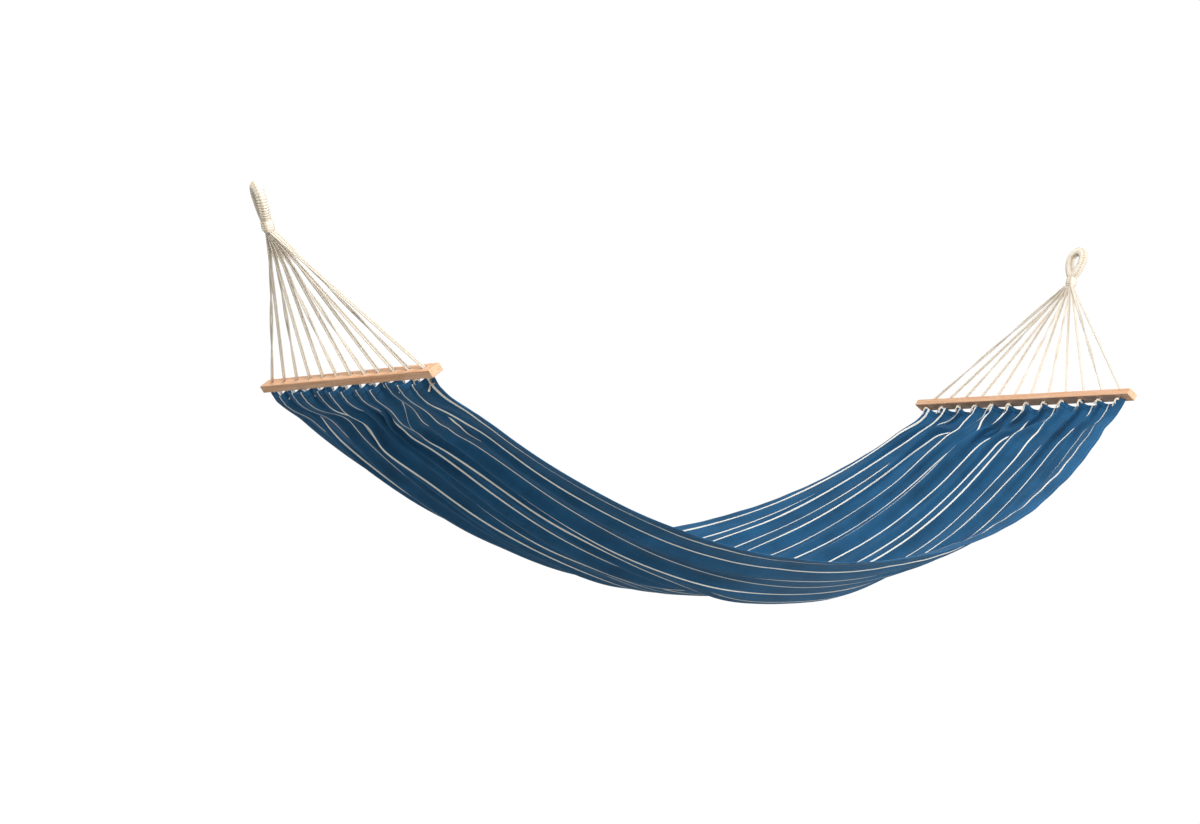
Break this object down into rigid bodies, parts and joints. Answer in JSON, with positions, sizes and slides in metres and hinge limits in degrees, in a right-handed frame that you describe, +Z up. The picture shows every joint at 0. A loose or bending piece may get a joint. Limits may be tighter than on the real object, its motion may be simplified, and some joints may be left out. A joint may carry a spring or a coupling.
{
  "type": "spreader-bar hammock",
  "caption": "Striped cloth hammock bed gathered between two wooden spreader bars, each hung from a rope eye by a fan of doubled cotton cords.",
  "frame": {"origin": "where the left hook bears on the inside of the top of the left hanging eye", "axes": "+X along the hammock from the left eye to the right eye, +Y across it towards its rear side, +Z up"},
  "size_m": [2.4357, 1.062, 0.9078],
  "materials": {
    "beech": "planed and clear oiled, satin",
    "cotton_cord": "twisted natural cotton cord, matt",
    "served_cord": "natural cotton cord wound close round the eye",
    "whipping_cord": "natural cotton cord wound round the neck",
    "striped_canvas": "plain-woven cotton canvas, blue with thin white warp stripes",
    "canvas_hem": "folded and double-stitched blue canvas"
  },
  "bodies": {
    "eyes": {"left_hanging_eye": "served_cord", "left_neck_whipping": "whipping_cord", "right_hanging_eye": "served_cord", "right_neck_whipping": "whipping_cord"},
    "bed": {"front_cloth_1": "striped_canvas", "rear_cloth_1": "striped_canvas", "front_cloth_2": "striped_canvas", "rear_cloth_2": "striped_canvas", "front_cloth_3": "striped_canvas", "rear_cloth_3": "striped_canvas", "front_cloth_4": "striped_canvas", "rear_cloth_4": "striped_canvas", "front_side_hem_1": "canvas_hem", "rear_side_hem_1": "canvas_hem", "front_side_hem_2": "canvas_hem", "rear_side_hem_2": "canvas_hem", "front_side_hem_3": "canvas_hem", "rear_side_hem_3": "canvas_hem", "front_side_hem_4": "canvas_hem", "rear_side_hem_4": "canvas_hem"},
    "left_bar": {"left_spreader_bar": "beech", "left_end_hem": "canvas_hem", "left_cord_01": "cotton_cord", "left_cord_02": "cotton_cord", "left_cord_03": "cotton_cord", "left_cord_04": "cotton_cord", "left_cord_05": "cotton_cord", "left_cord_06": "cotton_cord", "left_cord_07": "cotton_cord", "left_cord_08": "cotton_cord", "left_cord_09": "cotton_cord", "left_cord_10": "cotton_cord", "left_cord_11": "cotton_cord", "left_cord_12": "cotton_cord"},
    "right_bar": {"right_spreader_bar": "beech", "right_end_hem": "canvas_hem", "right_cord_01": "cotton_cord", "right_cord_02": "cotton_cord", "right_cord_03": "cotton_cord", "right_cord_04": "cotton_cord", "right_cord_05": "cotton_cord", "right_cord_06": "cotton_cord", "right_cord_07": "cotton_cord", "right_cord_08": "cotton_cord", "right_cord_09": "cotton_cord", "right_cord_10": "cotton_cord", "right_cord_11": "cotton_cord", "right_cord_12": "cotton_cord"}
  },
  "joints": [
    {"name": "bed_swing", "type": "hinge", "parent": "eyes", "child": "bed", "pos_m": [1.20338, 0, -0.07813], "axis": [1, 0, 0], "range_deg": [-30, 30]},
    {"name": "left_bar_tip", "type": "hinge", "parent": "bed", "child": "left_bar", "pos_m": [0.02738, 0, -0.07813], "axis": [1, 0, 0], "range_deg": [-10, 10]},
    {"name": "right_bar_tip", "type": "hinge", "parent": "bed", "child": "right_bar", "pos_m": [2.37938, 0, -0.07813], "axis": [1, 0, 0], "range_deg": [-10, 10]}
  ]
}
